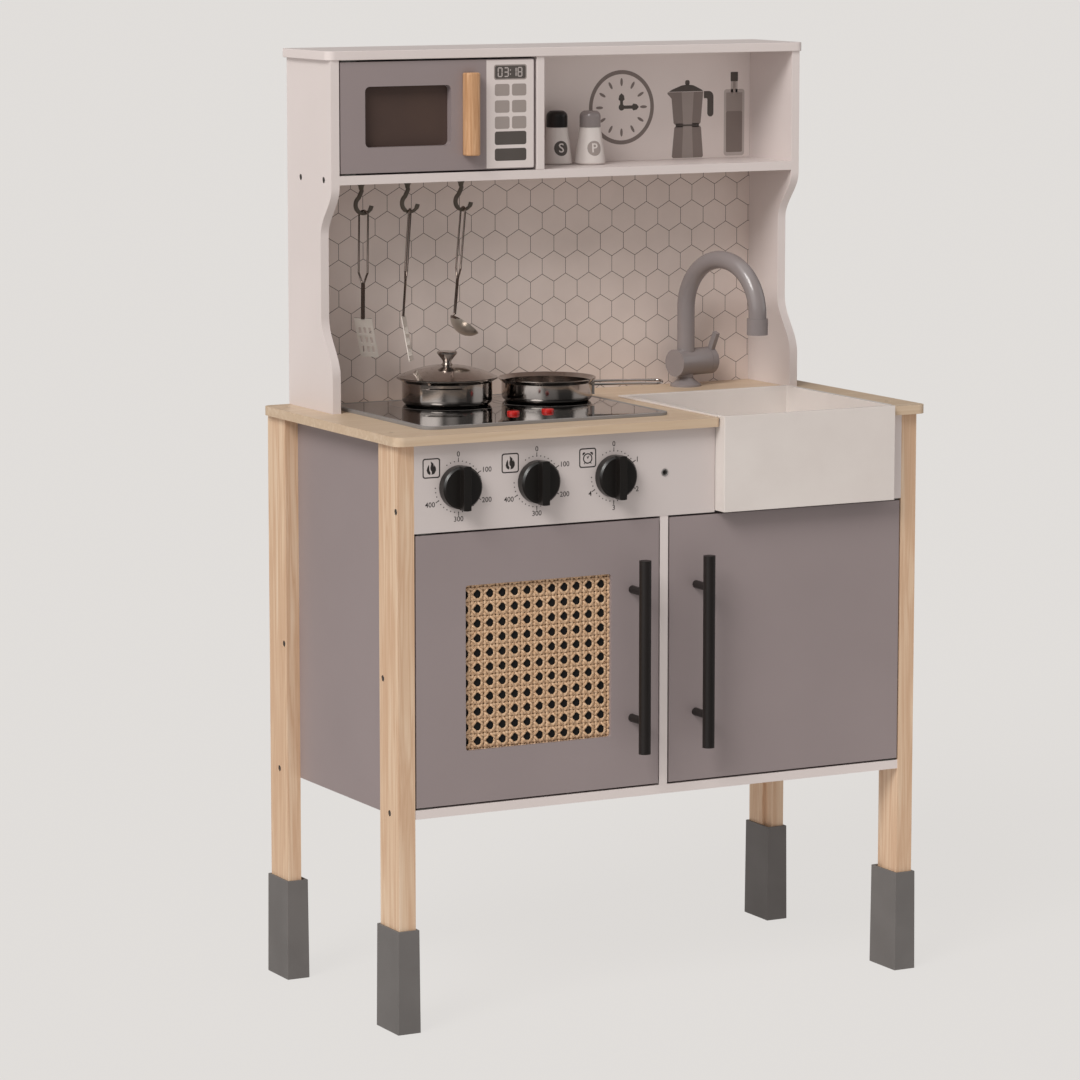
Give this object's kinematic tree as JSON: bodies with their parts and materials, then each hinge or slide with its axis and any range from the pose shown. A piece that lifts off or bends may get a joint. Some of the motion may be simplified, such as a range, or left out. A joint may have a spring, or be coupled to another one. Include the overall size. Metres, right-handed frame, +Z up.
{
  "type": "toy kitchen",
  "caption": "Free-standing wooden play kitchen with oven and cupboard doors, hob, sink with swivelling faucet, microwave, shelf and hanging utensils.",
  "frame": {"origin": "on the floor, at the centre of the bounding box in plan", "axes": "+Z up, front towards -Y, +X to the right as seen from the front"},
  "size_m": [0.5966, 0.3318, 0.941],
  "materials": {
    "pine": "smooth pine, clear matte lacquer",
    "sleeve_plastic": "dark grey, fine matte",
    "grey_board": "fibreboard painted warm grey, satin",
    "white_board": "fibreboard painted white, satin",
    "printed_board": "thin fibreboard, matte print",
    "counter_wood": "pale wood grain, satin",
    "rim_plastic": "silver grey, satin",
    "black_glass": "glossy black with printed rings",
    "white_plastic": "white, soft gloss",
    "red_plastic": "translucent red, glossy",
    "grey_plastic": "mid grey, glossy",
    "dark_metal": "dark bronze, satin",
    "hardware": "zinc plated",
    "cane": "open woven cane",
    "black_metal": "black powder coat, matte",
    "black_plastic": "black, fine matte",
    "window_plastic": "smoked dark, glossy",
    "steel": "polished stainless"
  },
  "bodies": {
    "frame": {"leg_front_left": "pine", "leg_front_right": "pine", "leg_back_left": "pine", "leg_back_right": "pine", "foot_sleeve_front_left": "sleeve_plastic", "foot_sleeve_front_right": "sleeve_plastic", "foot_sleeve_back_left": "sleeve_plastic", "foot_sleeve_back_right": "sleeve_plastic", "side_panel_left": "grey_board", "side_panel_right": "grey_board", "base_panel": "white_board", "cabinet_back_panel": "white_board", "centre_divider": "white_board", "control_panel": "white_board", "sink_filler_strip": "white_board", "countertop": "counter_wood", "hob_tray": "rim_plastic", "hob_glass": "black_glass", "hob_housing": "white_plastic", "sink": "white_plastic", "faucet_flange": "grey_plastic", "upper_side_left": "white_board", "upper_side_right": "white_board", "top_board": "white_board", "shelf": "white_board", "upper_divider": "white_board", "upper_back_panel": "printed_board", "backsplash": "printed_board", "cup_hooks": "dark_metal", "screws": "hardware", "door_hinges": "hardware"},
    "oven_door": {"oven_door": "grey_board", "cane_panel": "cane", "cane_retainer": "grey_board", "oven_handle": "black_metal"},
    "cupboard_door": {"cupboard_door": "grey_board", "cupboard_handle": "black_metal"},
    "microwave_door": {"microwave_door": "grey_board", "microwave_window": "window_plastic", "microwave_handle": "pine"},
    "knob_left": {"knob_left": "black_plastic"},
    "knob_middle": {"knob_middle": "black_plastic"},
    "knob_right": {"knob_right": "black_plastic"},
    "hob_button_left": {"hob_button_left": "red_plastic"},
    "hob_button_right": {"hob_button_right": "red_plastic"},
    "faucet": {"faucet_body": "grey_plastic", "faucet_spout": "grey_plastic", "faucet_outlet": "grey_plastic"},
    "faucet_lever": {"faucet_lever": "grey_plastic"},
    "pot": {"pot": "steel"},
    "pot_lid": {"pot_lid": "steel", "pot_lid_knob": "steel"},
    "pan": {"pan": "steel"},
    "salt_shaker": {"salt_shaker": "white_plastic", "salt_shaker_cap": "black_plastic"},
    "pepper_shaker": {"pepper_shaker": "white_plastic", "pepper_shaker_cap": "grey_plastic"},
    "wide_turner": {"wide_turner": "steel"},
    "slotted_turner": {"slotted_turner": "steel"},
    "ladle": {"ladle": "steel"}
  },
  "joints": [
    {"name": "oven_door_hinge", "type": "hinge", "parent": "frame", "child": "oven_door", "pos_m": [-0.2639, -0.12907, 0.3539], "axis": [0, 0, -1], "range_deg": [0, 105]},
    {"name": "cupboard_door_hinge", "type": "hinge", "parent": "frame", "child": "cupboard_door", "pos_m": [0.2639, -0.12907, 0.3539], "axis": [0, 0, 1], "range_deg": [0, 105]},
    {"name": "microwave_door_hinge", "type": "hinge", "parent": "frame", "child": "microwave_door", "pos_m": [-0.2484, 0.06492, 0.8753], "axis": [0, 0, -1], "range_deg": [0, 100]},
    {"name": "knob_left_turn", "type": "hinge", "parent": "frame", "child": "knob_left", "pos_m": [-0.227, -0.13357, 0.5315], "axis": [0, 1, 0], "range_deg": [0, 240]},
    {"name": "knob_middle_turn", "type": "hinge", "parent": "frame", "child": "knob_middle", "pos_m": [-0.142, -0.13357, 0.5315], "axis": [0, 1, 0], "range_deg": [0, 240]},
    {"name": "knob_right_turn", "type": "hinge", "parent": "frame", "child": "knob_right", "pos_m": [-0.057, -0.13357, 0.5315], "axis": [0, 1, 0], "range_deg": [0, 240]},
    {"name": "hob_button_left_press", "type": "slide", "parent": "frame", "child": "hob_button_left", "axis": [0, 0, -1], "range_m": [0, 0.002], "stiffness_N_per_m": 200, "springref_m": -0.001},
    {"name": "hob_button_right_press", "type": "slide", "parent": "frame", "child": "hob_button_right", "axis": [0, 0, -1], "range_m": [0, 0.002], "stiffness_N_per_m": 200, "springref_m": -0.001},
    {"name": "faucet_swivel", "type": "hinge", "parent": "frame", "child": "faucet", "pos_m": [0.167, 0.11743, 0.6085], "axis": [0, 0, 1], "range_deg": [-90, 8]},
    {"name": "faucet_lever_turn", "type": "hinge", "parent": "faucet", "child": "faucet_lever", "pos_m": [0.167, 0.11743, 0.6085], "axis": [0.9724, 0.2334, 0], "range_deg": [-24, 40]},
    {"name": "pot_lift", "type": "slide", "parent": "frame", "child": "pot", "axis": [0, -0.9397, 0.342], "range_m": [0, 0.15]},
    {"name": "pot_lid_lift", "type": "slide", "parent": "pot", "child": "pot_lid", "axis": [0, -0.9397, 0.342], "range_m": [0, 0.1]},
    {"name": "pan_lift", "type": "slide", "parent": "frame", "child": "pan", "axis": [0, 0, 1], "range_m": [0, 0.15]},
    {"name": "salt_shaker_lift", "type": "slide", "parent": "frame", "child": "salt_shaker", "axis": [0, 0, 1], "range_m": [0, 0.05]},
    {"name": "pepper_shaker_lift", "type": "slide", "parent": "frame", "child": "pepper_shaker", "axis": [0, 0, 1], "range_m": [0, 0.05]},
    {"name": "wide_turner_swing", "type": "hinge", "parent": "frame", "child": "wide_turner", "pos_m": [-0.214, 0.09942, 0.7778], "axis": [-1, 0, 0], "range_deg": [-6, 60]},
    {"name": "slotted_turner_swing", "type": "hinge", "parent": "frame", "child": "slotted_turner", "pos_m": [-0.1625, 0.09942, 0.7778], "axis": [-1, 0, 0], "range_deg": [-6, 60]},
    {"name": "ladle_swing", "type": "hinge", "parent": "frame", "child": "ladle", "pos_m": [-0.1025, 0.09942, 0.7778], "axis": [-1, 0, 0], "range_deg": [-6, 60]}
  ]
}
